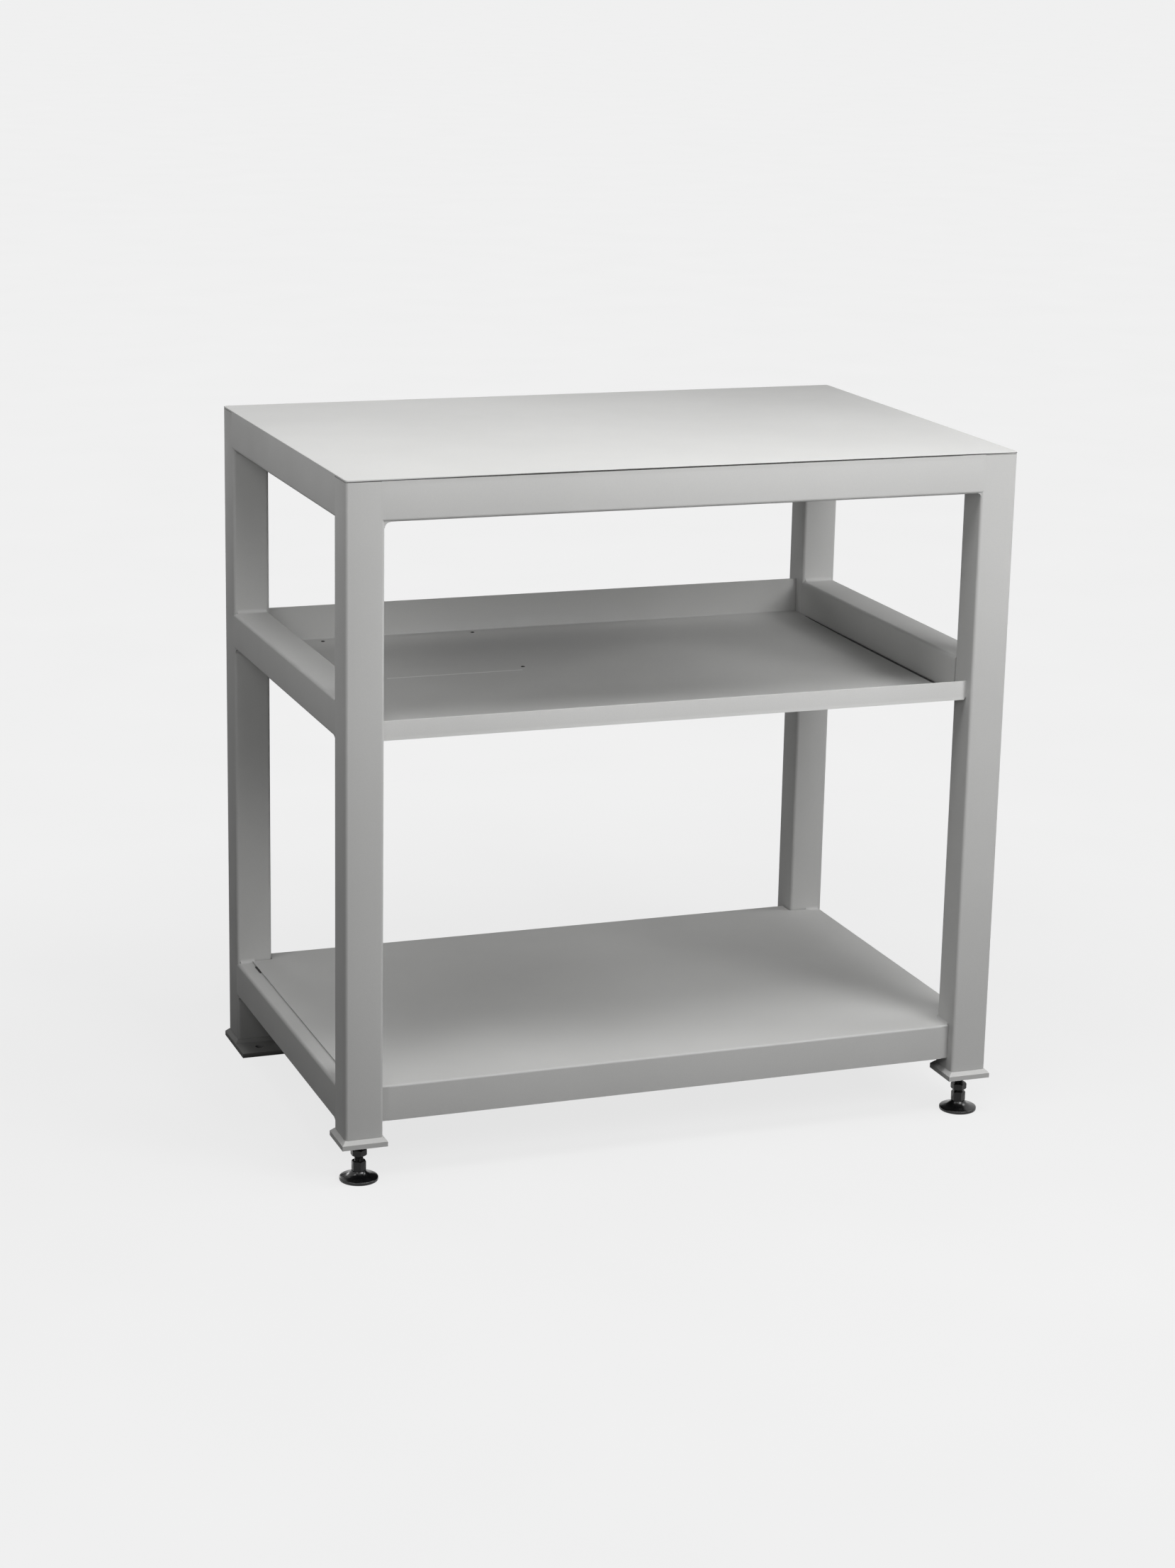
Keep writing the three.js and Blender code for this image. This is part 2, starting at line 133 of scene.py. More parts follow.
# Lamps: name, place, diameter and power; all look at one point
LAMP_TARGET = (0, 0, 0.5)
LAMPS = (
    ("overhead", (0.4, -0.9, 2.7), 1.0, 14.5),
    ("overhead_left", (-0.3, -0.9, 2.7), 1.0, 9.9),
    ("overhead_rear", (-0.5, 0.35, 2.0), 1.0, 5.8),
    ("key", (0.9, -1.8, 1.5), 1.0, 21.4),
    ("right_fill", (2.4, -0.5, 2.2), 1.2, 19.9),
    ("left_fill", (-1.4, -0.4, 1.75), 0.8, 5.2),
    ("front_left_fill", (-2.2, -2.4, 1.8), 1.4, 12.7),
    ("front_centre", (-0.1, -1.4, 1.0), 0.5, 1.7),
    ("rear_low", (-0.6, 2.2, 0.7), 0.8, 7.6),
)

# The camera, fitted to the edges of the photograph
CAMERA_PLACE = (-1.5450, -4.0911, 1.6197)
CAMERA_RIGHT = Vector((0.93881, -0.34388, 0.01953))
CAMERA_FORWARD = Vector((0.33662, 0.90404, -0.26344))
CAMERA_LENS = 75.06
CAMERA_SENSOR = 36
CAMERA_REACH = 500

# Welds: sizes of the fillets, and how far they sink into the tubes they join
SEAM_RADIUS = 4.5 * MM
FILLET = 6 * MM
FRONT_FILLETS = {"left": 7.5 * MM, "right": 3 * MM}
FULL_SETBACK = 1.5 * MM
FULL_EMBED = 2 * MM
TOP_FILLET = 5 * MM
SMALL_FILLET = 2.5 * MM
CROSS_RAIL_SETBACK = 3 * MM
EMBED = 0.25 * MM
FLUSH = 0.02 * MM
FILLET_STEPS = 6

# Ground seams on the outer faces
SEAM_WIDTH = 1.9 * MM
SEAM_SHOULDER = 0.9 * SEAM_WIDTH
SEAM_DEPTH = 0.5 * MM
SEAM_PLACE = 0.82 * SEAM_RADIUS

# Ends of the deck flanges: the gap to the leg, how far each weld stands back and how far it laps over
FLANGE_GAP = 10.2 * MM
FLANGE_WELDS = {"left": (-FLUSH, 1.5 * MM), "right": (0.8 * MM, 0)}
DECK_CLEARANCE = 0.4 * MM

# Worktop edge: the painted fill under it, and the painted shadow line on it, a black strip, as place along
# the bench, then lower and upper edge of the line below the worktop's upper face, in millimetres
FILL_BELOW = 4.5 * MM
FILL_UNDER_TOP = 0.5 * MM
FILL_DEPTH = 2.5 * MM
SHADOW_LINE_PROUD = 0.06 * MM
SHADOW_LINE = (
    (-455, 2.7, 2.4),
    (-395, 2.8, 1.8),
    (-200, 2.8, 0.9),
    (360, 2.5, 0.8),
    (412, 2.1, 1.0),
    (456, 1.7, 1.2),
)

# Tray: sheet, fold at the front, painted shadows beside the floor (black strips where its gaps to the side
# rails are shaded), scribed line, plugs in the four holes
# The outline of a shadow strip is shares of its width and length; a plug is radius and height in
# millimetres
TRAY_SHEET = 2 * MM
LIP_HEIGHT = 25.4 * MM
LIP_FOLD = 4 * MM
TRAY_SHADOW_WIDTH = 5 * MM
TRAY_SHADOW_BELOW = 0.8 * MM
TRAY_SHADOW_ABOVE = 0.1 * MM
TRAY_SHADOW_OUTLINE = ((0.0, 0.01), (1.0, 0.12), (1.0, 0.6), (0.45, 0.93), (0.0, 0.97))
SCRIBE_ENDS = (-305 * MM, -112 * MM)
SCRIBE_PLACE = 22 * MM
SCRIBE_WIDTH = 3.6 * MM
SCRIBE_DEPTH = 0.05 * MM
HOLES_FROM_LEFT = 78.7 * MM
HOLES_FROM_REAR = 18 * MM
HOLE_SPACING = 222 * MM
PLUG_PROFILE = ((0, -1.5), (1.9, -1.5), (1.9, 0.02), (2.8, 0.02), (2.7, 0.5), (1.7, 1.0), (0, 1.2))
PLUG_SEGMENTS = 24

# Painted shade: a black block in the open end of the deck seam, beside the deck at the rear left
GAP_ENDS = (202 * MM, 229 * MM)
GAP_WIDTH = 2.4 * MM
GAP_LAP = 0.2 * MM
GAP_BELOW_DECK = 0.6 * MM

# Levelling feet: pad with a rim, a bell and a socket, collar of the stud, thread
# The edge of the rim is inset and height in millimetres
PAD_RIM_EDGE = ((1.2, 0), (0.3, 0.4), (0, 1.3), (0, 3.5), (0.4, 4.3))
PAD_RIM = 4.5 * MM
PAD_RIM_INSET = 1 * MM
PAD_RIM_SLOPE = (6 * MM, 2 * MM)
PAD_NECK = 9.5 * MM
PAD_NECK_SLOPE = (3 * MM, 2.5 * MM)
PAD_SOCKET = 6.4 * MM
PAD_SOCKET_DEPTH = 3 * MM
PAD_SEGMENTS = 96
PAD_STEPS = 14
PAD_SMOOTH_ANGLE = 50
COLLAR_TOP = 26.4 * MM
THREAD_SINK = 0.5 * MM
THREAD_PITCH = 1.75 * MM
THREAD_CREST = 5.9 * MM
THREAD_DEPTH = 0.95 * MM
THREAD_FLANK = 1.35
THREAD_SEGMENTS = 40
THREAD_ROWS_PER_TURN = 8

# Edges flatter than this are shaded smooth, and points closer than this are one point
SMOOTH_ANGLE = 35
SAME_POINT = 0.01 * MM


# Node graphs


def add(tree, kind, sockets=None, **settings):
    """A new node, its settings set and its sockets linked or given a constant."""
    made = tree.nodes.new(kind)
    for key, value in settings.items():
        setattr(made, key, value)
    for key, value in (sockets or {}).items():
        if isinstance(value, bpy.types.NodeSocket):
            tree.links.new(value, made.inputs[key])
        else:
            made.inputs[key].default_value = value
    return made


def new_material(name):
    """An empty node material and its tree."""
    material = bpy.data.materials.new(name)
    material.use_nodes = True
    material.node_tree.nodes.clear()
    return material, material.node_tree


def spread(tree, value, from_low, from_high, to_low, to_high, **settings):
    """A value carried from one range to another, held at the ends."""
    sockets = {
        "Value": value, "From Min": from_low, "From Max": from_high, "To Min": to_low, "To Max": to_high,
    }
    return add(tree, "ShaderNodeMapRange", sockets, **settings).outputs[0]


def noise(tree, place, scale, detail, low, high):
    """Soft noise, spread between two values."""
    field = add(tree, "ShaderNodeTexNoise", {"Vector": place, "Scale": scale, "Detail": detail})
    return spread(tree, field.outputs[0], *NOISE_RANGE, low, high)


def multiply(tree, a, b):
    """The product of two values."""
    return add(tree, "ShaderNodeMath", {0: a, 1: b}, operation="MULTIPLY").outputs[0]


def larger(tree, a, b):
    """The larger of two values."""
    return add(tree, "ShaderNodeMath", {0: a, 1: b}, operation="MAXIMUM").outputs[0]


def grain_bump(tree, place, scale, strength):
    """A normal roughened by fine noise."""
    grain = add(tree, "ShaderNodeTexNoise", {"Vector": place, "Scale": scale, "Detail": FINE_DETAIL})
    bump = add(tree, "ShaderNodeBump", {
        "Strength": strength, "Distance": PEEL_DEPTH, "Height": grain.outputs[0],
    })
    return bump.outputs[0]


def coat_material(name, colour, roughness, peel, fade=None):
    """Powder coat: faint clouding, painted shade in creases, fine orange peel.

    A fade is painted light (a tone above one) or painted shade (a tone below one) along an axis: the axis,
    two places along it and the tone at the first; at the second it has faded out.
    """
    material, tree = new_material(name)
    place = add(tree, "ShaderNodeTexCoord").outputs["Object"]
    clouds = noise(tree, place, *COAT_CLOUDS)
    specks = noise(tree, place, *COAT_SPECKS)
    # Painted shade: an occlusion node darkens the paint in creases, corners and recesses
    crease = add(tree, "ShaderNodeAmbientOcclusion", {"Distance": CREASE_REACH}, samples=CREASE_SAMPLES)
    painted_crease_shade = spread(tree, crease.outputs["AO"], *CREASE_SHADE_RANGE, CREASE_PAINTED_SHADE, 1.0)
    tone = multiply(tree, multiply(tree, clouds, specks), painted_crease_shade)
    if fade:
        axis, start, end, start_tone = fade
        along = add(tree, "ShaderNodeSeparateXYZ", {0: place}).outputs[axis]
        tone = multiply(tree, tone, spread(tree, along, start, end, start_tone, 1.0))
    paint = add(tree, "ShaderNodeHueSaturation", {"Value": tone, "Color": colour})
    dull, bright = roughness + COAT_SHINE_SWING, roughness - COAT_SHINE_SWING
    shine = noise(tree, place, COAT_SHINE_SCALE, FINE_DETAIL, bright, dull)
    surface = add(tree, "ShaderNodeBsdfPrincipled", {
        "Base Color": paint.outputs[0],
        "Roughness": shine,
        "Normal": grain_bump(tree, place, PEEL_SCALE, peel),
        "Specular IOR Level": COAT_SPECULAR,
    })
    add(tree, "ShaderNodeOutputMaterial", {"Surface": surface.outputs[0]})
    return material


def black_material(name, colour, roughness, metallic, grain):
    """Black plastic or oiled steel with a slightly uneven shine."""
    material, tree = new_material(name)
    place = add(tree, "ShaderNodeTexCoord").outputs["Object"]
    tone = noise(tree, place, *BLACK_CLOUDS)
    paint = add(tree, "ShaderNodeHueSaturation", {"Value": tone, "Color": colour})
    dull, bright = roughness * BLACK_SHINE_HIGH, roughness * BLACK_SHINE_LOW
    shine = noise(tree, place, BLACK_SHINE_SCALE, FINE_DETAIL, bright, dull)
    surface = add(tree, "ShaderNodeBsdfPrincipled", {
        "Base Color": paint.outputs[0],
        "Roughness": shine,
        "Metallic": metallic,
        "Normal": grain_bump(tree, place, BLACK_GRAIN_SCALE, grain),
    })
    add(tree, "ShaderNodeOutputMaterial", {"Surface": surface.outputs[0]})
    return material


def background_ray(tree):
    """One for a ray that meets the pale background: from the camera, off gloss or through glass."""
    path = add(tree, "ShaderNodeLightPath").outputs
    seen_or_gloss = larger(tree, path["Is Camera Ray"], path["Is Glossy Ray"])
    return larger(tree, seen_or_gloss, path["Is Transmission Ray"])


def floor_material():
    """Pale paper: near the bench it takes a faint shadow, further out it is one even tone.

    Towards the bench it throws back only the little light that a floor in a dark studio would.
    """
    material, tree = new_material("paper_floor")
    place = add(tree, "ShaderNodeTexCoord").outputs["Object"]
    reach = add(tree, "ShaderNodeVectorMath", {0: place}, operation="LENGTH").outputs["Value"]
    near = spread(tree, reach, SHADOW_NEAR, SHADOW_FAR, FLOOR_SHADOW, 0.0, interpolation_type="SMOOTHSTEP")
    grain = noise(tree, place, *FLOOR_GRAIN)
    paper = add(tree, "ShaderNodeHueSaturation", {"Value": grain, "Color": PAPER}).outputs[0]
    lit = add(tree, "ShaderNodeBsdfDiffuse", {"Color": paper}).outputs[0]
    even = add(tree, "ShaderNodeEmission", {"Color": paper}).outputs[0]
    seen = add(tree, "ShaderNodeMixShader", {0: near, 1: even, 2: lit}).outputs[0]
    bounce = add(tree, "ShaderNodeBsdfDiffuse", {"Color": FLOOR_BOUNCE}).outputs[0]
    surface = add(tree, "ShaderNodeMixShader", {0: background_ray(tree), 1: bounce, 2: seen})
    add(tree, "ShaderNodeOutputMaterial", {"Surface": surface.outputs[0]})
    return material


# Meshes


def finish_piece(name, bm, material, body=FRAME_BODY, smooth_angle=SMOOTH_ANGLE):
    """An object from a bmesh, smooth up to an angle, that rides on a CAD body."""
    bmesh.ops.recalc_face_normals(bm, faces=bm.faces)
    limit = math.radians(smooth_angle)
    for face in bm.faces:
        face.smooth = True
    for edge in bm.edges:
        edge.smooth = len(edge.link_faces) == 2 and edge.calc_face_angle(0) < limit
    mesh = bpy.data.meshes.new(name)
    bm.to_mesh(mesh)
    bm.free()
    mesh.materials.append(material)
    piece = bpy.data.objects.new(name, mesh)
    bpy.context.scene.collection.objects.link(piece)
    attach(piece, body)
    return piece


def sweep(bm, section, start, end):
    """A closed prism: a ring of offsets carried from one point to another."""
    rings = [[bm.verts.new(point + offset) for offset in section] for point in (start, end)]
    count = len(section)
    for i in range(count):
        j = (i + 1) % count
        bm.faces.new((rings[0][i], rings[0][j], rings[1][j], rings[1][i]))
    bm.faces.new(rings[0])
    bm.faces.new(rings[1])


def block(bm, low, high):
    """A plain box between two corners."""
    section = [
        Vector((low[0], low[1], 0)),
        Vector((high[0], low[1], 0)),
        Vector((high[0], high[1], 0)),
        Vector((low[0], high[1], 0)),
    ]
    sweep(bm, section, Z * low[2], Z * high[2])


def add_fillet(bm, start, end, along_a, along_b, size, embed=EMBED):
    """A concave painted weld in the corner between two faces, from start to end."""
    centre = (along_a + along_b) * size
    section = [-(along_a + along_b) * embed, along_a * size - along_b * embed]
    for step in range(FILLET_STEPS + 1):
        angle = math.radians(90) * step / FILLET_STEPS
        section.append(centre - (along_b * math.cos(angle) + along_a * math.sin(angle)) * size)
    section.append(along_b * size - along_a * embed)
    sweep(bm, section, start, end)


def ring_offset(turn, radius):
    """The offset of a point on a level circle, for a turn between 0 and 1."""
    angle = 2 * math.pi * turn
    return (X * math.cos(angle) + Y * math.sin(angle)) * radius


def lathe(bm, profile, centre, segments):
    """A turned surface about a vertical axis from pairs of radius and height; zero radius closes it."""
    rings = []
    for radius, height in profile:
        count = segments if radius else 1
        rings.append([
            bm.verts.new(centre + ring_offset(i / count, radius) + Z * height) for i in range(count)
        ])
    for lower, upper in zip(rings, rings[1:]):
        for i in range(segments):
            j = i + 1
            corners = [ring[k % len(ring)] for ring, k in ((lower, i), (lower, j), (upper, j), (upper, i))]
            bm.faces.new(list(dict.fromkeys(corners)))


def make_soft_group():
    """A modifier that shades shallow facets smooth and leaves the mesh itself as it is."""
    group = bpy.data.node_groups.new("soften_facets", "GeometryNodeTree")
    for direction in ("INPUT", "OUTPUT"):
        group.interface.new_socket("Geometry", in_out=direction, socket_type="NodeSocketGeometry")
    source = add(group, "NodeGroupInput").outputs[0]
    welded = add(group, "GeometryNodeMergeByDistance", {"Geometry": source, "Distance": SAME_POINT})
    angle = add(group, "GeometryNodeInputMeshEdgeAngle").outputs[0]
    limit = math.radians(SMOOTH_ANGLE)
    sharp = add(group, "FunctionNodeCompare", {"A": angle, "B": limit}, operation="GREATER_THAN")
    shaded = add(group, "GeometryNodeSetMeshNormal", {
        "Mesh": welded.outputs[0],
        "Remove Custom": True,
        "Edge Sharpness": sharp.outputs[0],
        "Face Sharpness": False,
    })
    add(group, "NodeGroupOutput", {0: shaded.outputs[0]})
    return group


# Places on the frame


def inner_face(side):
    """The x of the leg faces on one side that look across the bench."""
    low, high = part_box(f"leg_front_{side}")
    return high.x if side == "left" else low.x


def outer_face(side):
    """The x of the leg faces on one side that look away from the bench."""
    low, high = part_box(f"leg_front_{side}")
    return low.x if side == "left" else high.x


def tray_floor():
    """The height of the tray's upper face."""
    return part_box("tray")[0].z + TRAY_SHEET


# Welds


def cross_rail_fillets(bm):
    """Painted welds under the ends of the front and rear rails."""
    for side, sign in SIDES.items():
        inner_x = inner_face(side)
        for rail, size, setback, embed in (
            ("top_rail_front", FRONT_FILLETS[side], FULL_SETBACK, FULL_EMBED),
            ("top_rail_rear", FILLET, SEAM_RADIUS, EMBED),
            ("lower_rail_front", FILLET, CROSS_RAIL_SETBACK, EMBED),
            ("lower_rail_rear", FILLET, CROSS_RAIL_SETBACK, EMBED),
        ):
            low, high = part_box(rail)
            start = Vector((inner_x, low.y + setback, low.z))
            end = Vector((inner_x, high.y - setback, low.z))
            add_fillet(bm, start, end, -sign * X, -Z, size, embed)


def side_rail_fillets(bm):
    """Painted welds where the side rails meet the legs, under them and on top of the open ones."""
    for side in SIDES:
        front_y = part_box(f"leg_front_{side}")[1].y
        rear_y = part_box(f"leg_rear_{side}")[0].y
        for level in ("top", "mid", "lower"):
            low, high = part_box(f"{level}_rail_{side}")
            left, right = low.x + SEAM_RADIUS, high.x - SEAM_RADIUS
            middle = (left + right) / 2
            beside_deck = (left, middle) if side == "left" else (middle, right)
            open_top = {"top": None, "mid": (left, right), "lower": beside_deck}[level]
            setback, embed = (SEAM_RADIUS, EMBED) if level == "top" else (FULL_SETBACK, FULL_EMBED)
            for face_y, inward in ((front_y, Y), (rear_y, -Y)):
                ends = (low.x + setback, high.x - setback)
                under = [Vector((x, face_y, low.z)) for x in ends]
                add_fillet(bm, *under, inward, -Z, FILLET, embed)
                if open_top:
                    above = [Vector((x, face_y, high.z)) for x in open_top]
                    add_fillet(bm, *above, inward, Z, TOP_FILLET)


def sheet_fillets(bm):
    """Small welds beside the tray lip and along the ends of the deck at the front legs."""
    deck_low, deck_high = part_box("deck")
    tray_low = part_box("tray")[0]
    for side, sign in SIDES.items():
        inner_x = inner_face(side)
        lip = [Vector((inner_x, tray_low.y, tray_low.z + rise)) for rise in (LIP_FOLD, LIP_HEIGHT)]
        add_fillet(bm, *lip, -sign * X, -Y, SMALL_FILLET)
        deck_front = Vector((inner_x, deck_low.y + CROSS_RAIL_SETBACK, deck_high.z))
        deck_rear = Vector((inner_x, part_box(f"leg_front_{side}")[1].y, deck_high.z))
        add_fillet(bm, deck_front, deck_rear, -sign * X, Z, SMALL_FILLET)


def flange_end_welds(bm):
    """Ground welds that close the short gaps between the ends of the deck flanges and the legs."""
    deck_low, deck_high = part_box("deck")
    sheet_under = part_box("lower_rail_left")[1].z + DECK_CLEARANCE
    for side, sign in SIDES.items():
        inner_x = inner_face(side)
        recess, lap = FLANGE_WELDS[side]
        left, right = sorted((inner_x + sign * EMBED, inner_x - sign * (FLANGE_GAP + lap)))
        for face_y, rail_y in (
            (deck_low.y + recess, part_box("lower_rail_front")[0].y + EMBED),
            (deck_high.y - recess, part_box("lower_rail_rear")[1].y - EMBED),
        ):
            near, far = sorted((face_y, rail_y))
            block(bm, (left, near, deck_low.z + EMBED), (right, far, sheet_under))


def seam_strip(bm, middle, along, outward, low, high):
    """One flush strip over a groove, upright, between two heights."""
    section = [
        along * SEAM_WIDTH - outward * SEAM_DEPTH,
        along * SEAM_SHOULDER,
        outward * FLUSH,
        -along * SEAM_SHOULDER,
        -along * SEAM_WIDTH - outward * SEAM_DEPTH,
    ]
    sweep(bm, section, middle + Z * (low.z + SEAM_RADIUS), middle + Z * (high.z - SEAM_RADIUS))


def seam_dressings(bm):
    """Flush ground seams that close the grooves between the rails' outer faces and the legs."""
    for side, sign in SIDES.items():
        front_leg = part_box(f"leg_front_{side}")
        rear_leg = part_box(f"leg_rear_{side}")
        seam_x = inner_face(side) + sign * SEAM_PLACE
        seam_strip(bm, Vector((seam_x, front_leg[0].y, 0)), X, -Y, *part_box("top_rail_front"))
        seam_strip(bm, Vector((seam_x, rear_leg[1].y, 0)), X, Y, *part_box("top_rail_rear"))
        for level in ("top", "mid", "lower"):
            for seam_y in (front_leg[1].y - SEAM_PLACE, rear_leg[0].y + SEAM_PLACE):
                middle = Vector((outer_face(side), seam_y, 0))
                seam_strip(bm, middle, Y, sign * X, *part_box(f"{level}_rail_{side}"))


def worktop_fill(bm):
    """Paint that fills the groove between the worktop's edge and the rounded top rails."""
    outer_low, outer_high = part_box("worktop")
    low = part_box("top_rail_front")[1].z - FILL_BELOW
    high = outer_high.z - FILL_UNDER_TOP
    left = inner_face("left") - SEAM_RADIUS
    right = inner_face("right") + SEAM_RADIUS
    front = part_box("leg_front_left")[1].y - SEAM_RADIUS
    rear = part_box("leg_rear_left")[0].y + SEAM_RADIUS
    for near, far in (
        (outer_low.y - FLUSH, outer_low.y + FILL_DEPTH),
        (outer_high.y - FILL_DEPTH, outer_high.y + FLUSH),
    ):
        block(bm, (left, near, low), (right, far, high))
    for near, far in (
        (outer_low.x - FLUSH, outer_low.x + FILL_DEPTH),
        (outer_high.x - FILL_DEPTH, outer_high.x + FLUSH),
    ):
        block(bm, (near, front, low), (far, rear, high))


# Small marks seen on the sheets


def lip_edge(bm):
    """A crisp lower edge on the tray's front lip, over the round of its fold."""
    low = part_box("tray")[0]
    left = inner_face("left") + SMALL_FILLET
    right = inner_face("right") - SMALL_FILLET
    block(bm, (left, low.y - FLUSH, low.z), (right, low.y + LIP_FOLD, low.z + LIP_FOLD))


def scribe_line(bm):
    """A fine scribed line on the tray floor."""
    floor_z = tray_floor()
    near, far = SCRIBE_PLACE - SCRIBE_WIDTH / 2, SCRIBE_PLACE + SCRIBE_WIDTH / 2
    low = (SCRIBE_ENDS[0], near, floor_z - SCRIBE_DEPTH)
    high = (SCRIBE_ENDS[1], far, floor_z + SCRIBE_DEPTH)
    block(bm, low, high)


def deck_gap_shade(bm):
    """Painted shade: a black block stands for the dark inside the open end of the deck seam at the rear
    left.
    """
    deck_low, deck_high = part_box("deck")
    rail_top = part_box("lower_rail_left")[1].z
    low = (deck_low.x - GAP_WIDTH, GAP_ENDS[0], rail_top - EMBED)
    high = (deck_low.x + GAP_LAP, GAP_ENDS[1], deck_high.z - GAP_BELOW_DECK)
    block(bm, low, high)


def worktop_painted_shadow(bm):
    """Painted shadow: a black strip stands for the shadow line under the worktop's edge, at the front and
    at the rear.
    """
    outer_low, outer_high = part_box("worktop")
    lower = [Vector((x * MM, 0, outer_high.z - deep * MM)) for x, deep, _ in SHADOW_LINE]
    upper = [Vector((x * MM, 0, outer_high.z - shallow * MM)) for x, _, shallow in SHADOW_LINE]
    section = lower + upper[::-1]
    sweep(bm, section, Y * (outer_low.y - SHADOW_LINE_PROUD), Y * (outer_low.y + FILL_DEPTH))
    sweep(bm, section, Y * (outer_high.y - FILL_DEPTH), Y * (outer_high.y + SHADOW_LINE_PROUD))


def tray_gap_shadows(bm):
    """Painted shadows: black strips on the tray floor beside the side rails stand for the shade in the gaps
    there, narrower towards their ends.
    """
    floor_z = tray_floor()
    for side, sign in SIDES.items():
        low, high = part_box(f"mid_rail_{side}")
        edge = high.x if side == "left" else low.x
        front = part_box(f"leg_front_{side}")[1].y
        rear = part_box(f"leg_rear_{side}")[0].y
        section = [
            Vector((edge - sign * TRAY_SHADOW_WIDTH * wide, front + (rear - front) * share, 0))
            for wide, share in TRAY_SHADOW_OUTLINE
        ]
        sweep(bm, section, Z * (floor_z - TRAY_SHADOW_BELOW), Z * (floor_z + TRAY_SHADOW_ABOVE))


def tray_plugs(bm):
    """Low dark plugs in the four small holes of the tray floor."""
    low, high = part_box("tray")
    profile = [(radius * MM, height * MM) for radius, height in PLUG_PROFILE]
    for across in (0, HOLE_SPACING):
        for along in (0, HOLE_SPACING):
            x = low.x + HOLES_FROM_LEFT + across
            y = high.y - HOLES_FROM_REAR - along
            lathe(bm, profile, Vector((x, y, tray_floor())), PLUG_SEGMENTS)


# Levelling feet


def curve_point(a, b, c, d, t):
    """A point on a curve that leaves a towards b and reaches d from c."""
    s = 1 - t
    return s ** 3 * a + 3 * s ** 2 * t * b + 3 * s * t ** 2 * c + t ** 3 * d


def make_pad(side, material):
    """A smooth bell-shaped pad in place of the faceted one."""
    low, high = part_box(f"foot_pad_{side}")
    centre = Vector(((low.x + high.x) / 2, (low.y + high.y) / 2, low.z))
    radius, height = (high.x - low.x) / 2, high.z - low.z
    profile = [(0, 0)]
    profile += [(radius - inset * MM, rise * MM) for inset, rise in PAD_RIM_EDGE]
    rim_slope_in, rim_slope_up = PAD_RIM_SLOPE
    neck_slope_out, neck_slope_up = PAD_NECK_SLOPE
    widths = (radius - PAD_RIM_INSET, radius - rim_slope_in, PAD_NECK + neck_slope_out, PAD_NECK)
    rises = (PAD_RIM, PAD_RIM + rim_slope_up, PAD_RIM + neck_slope_up, height)
    for step in range(PAD_STEPS + 1):
        t = step / PAD_STEPS
        profile.append((curve_point(*widths, t), curve_point(*rises, t)))
    socket_floor = height - PAD_SOCKET_DEPTH
    profile += [(PAD_SOCKET, height), (PAD_SOCKET, socket_floor), (0, socket_floor)]
    bm = bmesh.new()
    lathe(bm, profile, centre, PAD_SEGMENTS)
    pad = finish_piece(f"levelling_pad_{side}", bm, material, f"{side}_pad", PAD_SMOOTH_ANGLE)
    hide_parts(f"foot_pad_{side}")


def thread_radius(height, turn, taper):
    """The radius of a right-hand thread at a height and a turn between 0 and 1."""
    phase = (height / THREAD_PITCH - turn) % 1
    crest = min(1.0, THREAD_FLANK * (1 - abs(2 * phase - 1)))
    return THREAD_CREST - THREAD_DEPTH * (1 - crest * taper)


def add_thread(bm, axis, bottom, top):
    """A threaded rod about an upright axis, run out at its upper end."""
    rows = int((top - bottom) / THREAD_PITCH * THREAD_ROWS_PER_TURN)
    rings = []
    for row in range(rows + 1):
        height = bottom - THREAD_SINK + (top - bottom) * row / rows
        taper = min(1.0, (rows - row) / THREAD_ROWS_PER_TURN)
        ring = []
        for i in range(THREAD_SEGMENTS):
            turn = i / THREAD_SEGMENTS
            offset = ring_offset(turn, thread_radius(height, turn, taper))
            ring.append(bm.verts.new(axis + offset + Z * height))
        rings.append(ring)
    for lower, upper in zip(rings, rings[1:]):
        for i in range(THREAD_SEGMENTS):
            j = (i + 1) % THREAD_SEGMENTS
            bm.faces.new((lower[i], lower[j], upper[j], upper[i]))
    bm.faces.new(rings[0])
    bm.faces.new(rings[-1])


def make_stud(side, material):
    """The CAD stud with its plain rod exchanged for a right-hand thread."""
    node = nodes[f"foot_stud_{side}"]
    low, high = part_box(node.name)
    axis = Vector(((low.x + high.x) / 2, (low.y + high.y) / 2, 0))
    bm = bmesh.new()
    bm.from_mesh(node.data)
    bmesh.ops.remove_doubles(bm, verts=bm.verts, dist=SAME_POINT)
    every = list(bm.verts) + list(bm.edges) + list(bm.faces)
    bmesh.ops.bisect_plane(bm, geom=every, plane_co=Z * COLLAR_TOP, plane_no=Z, clear_outer=True)
    add_thread(bm, axis, COLLAR_TOP, high.z)
    stud = finish_piece(f"threaded_stud_{side}", bm, material, f"{side}_stud")
    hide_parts(node.name)


# Stage


def add_area_light(name, place, size, power):
    """A round lamp, not seen itself, that looks at the bench."""
    data = bpy.data.lights.new(name, "AREA")
    data.shape = "DISK"
    data.size = size
    data.energy = power
    lamp = bpy.data.objects.new(name, data)
    lamp.location = place
    lamp.visible_camera = False
    aim = Vector(LAMP_TARGET) - Vector(place)
    lamp.rotation_euler = aim.to_track_quat("-Z", "Y").to_euler()
    bpy.context.scene.collection.objects.link(lamp)


